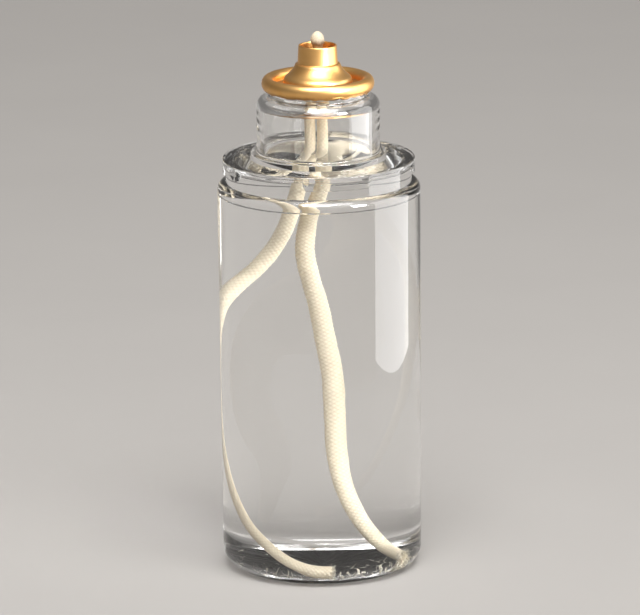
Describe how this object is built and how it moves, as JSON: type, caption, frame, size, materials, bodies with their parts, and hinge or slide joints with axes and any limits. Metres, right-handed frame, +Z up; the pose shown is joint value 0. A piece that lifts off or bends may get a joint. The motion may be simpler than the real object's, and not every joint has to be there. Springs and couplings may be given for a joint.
{
  "type": "oil lamp cartridge",
  "caption": "Sealed table oil lamp: clear bottle with collar and lugs, brass burner crimped on the neck, cotton feeder wicks hanging in clear lamp oil.",
  "frame": {"origin": "centre of the bottle's foot, on the surface it stands on", "axes": "+Z up along the lamp's axis; the front, with one lug just right of centre, faces -Y; +X to the right seen from the front"},
  "size_m": [0.06, 0.06, 0.1618],
  "materials": {
    "clear_plastic": "clear moulded styrene plastic, glossy",
    "lamp_oil": "clear liquid paraffin",
    "brass": "satin brass, stamped sheet",
    "wick_cotton": "braided cotton soaked in oil",
    "glass_yarn": "white glass-fibre yarn, matt",
    "seal": "natural soft seal, semi-matt"
  },
  "bodies": {
    "root": {"bottle_cup": "clear_plastic", "bottle_top": "clear_plastic", "mouth_seal": "seal", "burner_cap": "brass", "wick_holder": "brass", "wick_ferrule": "brass", "wick_tip": "glass_yarn", "feeder_wick_left": "wick_cotton", "feeder_wick_right": "wick_cotton", "lamp_oil": "lamp_oil"}
  },
  "joints": []
}
